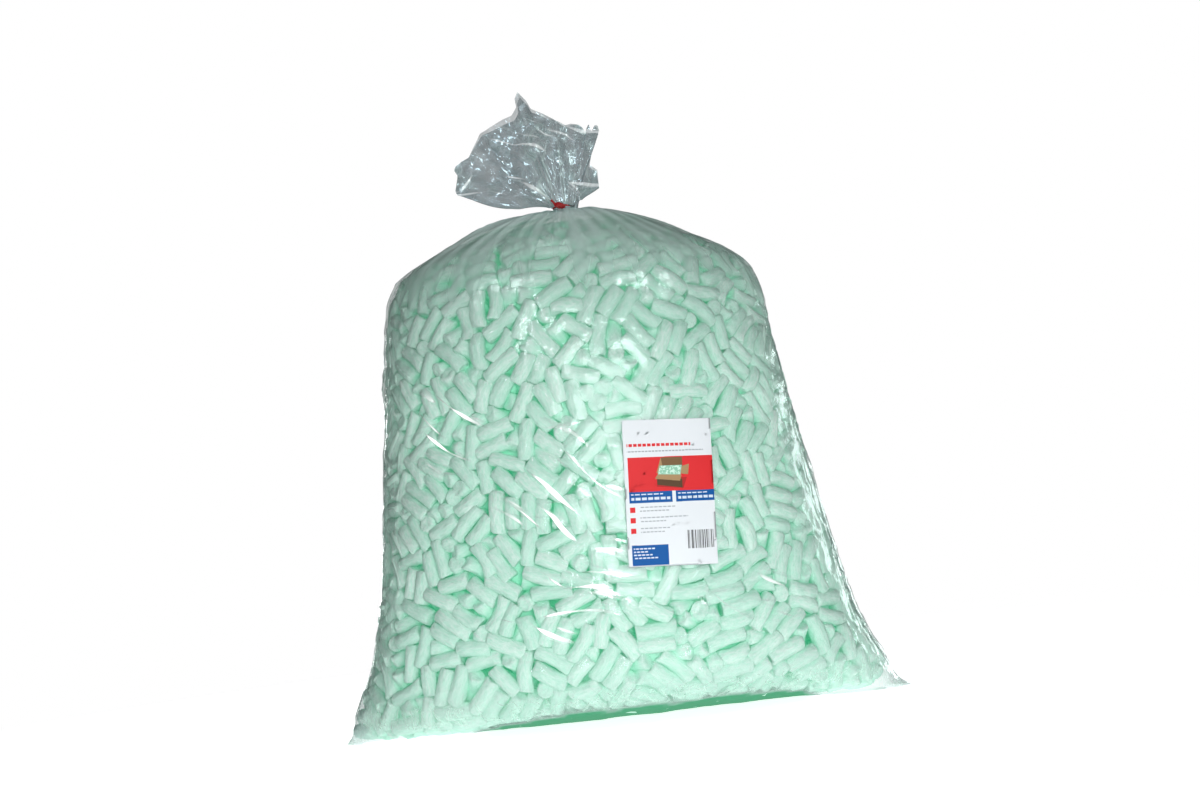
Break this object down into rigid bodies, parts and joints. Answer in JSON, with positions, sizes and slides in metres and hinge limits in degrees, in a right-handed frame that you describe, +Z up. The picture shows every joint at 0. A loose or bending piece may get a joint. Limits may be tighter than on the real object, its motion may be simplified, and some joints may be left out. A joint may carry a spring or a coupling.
{
  "type": "packing peanut bag",
  "caption": "Clear film bag of loose-fill starch packing chips, tied at the neck, with a printed label on its front.",
  "frame": {"origin": "on the floor, in the middle of the bag's plan", "axes": "+Z up from the floor to the tied neck, +X to the right of the labelled face, +Y to the back"},
  "size_m": [0.62, 0.3294, 0.7035],
  "materials": {
    "film": "thin clear polyethylene film, glossy and creased",
    "tie": "red plastic-coated twist tie",
    "label": "smooth white printed label with red and blue fields",
    "chips": "matt foamed starch with a fine porous skin, pale mint green"
  },
  "bodies": {
    "root": {"bag_film": "film", "contents_label": "label", "loose_chip_01": "chips", "loose_chip_02": "chips", "loose_chip_03": "chips", "loose_chip_04": "chips", "loose_chip_05": "chips", "loose_chip_06": "chips", "loose_chip_07": "chips", "loose_chip_08": "chips", "loose_chip_09": "chips", "loose_chip_10": "chips", "loose_chip_11": "chips", "loose_chip_12": "chips", "loose_chip_13": "chips", "loose_chip_14": "chips", "loose_chip_15": "chips", "loose_chip_16": "chips", "loose_chip_17": "chips", "loose_chip_18": "chips", "loose_chip_19": "chips", "loose_chip_20": "chips", "loose_chip_21": "chips", "loose_chip_22": "chips", "loose_chip_23": "chips", "loose_chip_24": "chips", "loose_chip_25": "chips", "loose_chip_26": "chips", "loose_chip_27": "chips", "loose_chip_28": "chips", "loose_chip_29": "chips", "loose_chip_30": "chips", "loose_chip_31": "chips", "loose_chip_32": "chips", "loose_chip_33": "chips", "loose_chip_34": "chips", "loose_chip_35": "chips", "loose_chip_36": "chips", "loose_chip_37": "chips", "loose_chip_38": "chips", "loose_chip_39": "chips", "loose_chip_40": "chips", "loose_chip_41": "chips", "loose_chip_42": "chips", "loose_chip_43": "chips", "loose_chip_44": "chips", "loose_chip_45": "chips", "loose_chip_46": "chips", "loose_chip_47": "chips", "loose_chip_48": "chips", "loose_chip_49": "chips", "loose_chip_50": "chips", "neck_tie": "tie", "packed_chips": "chips"}
  },
  "joints": []
}
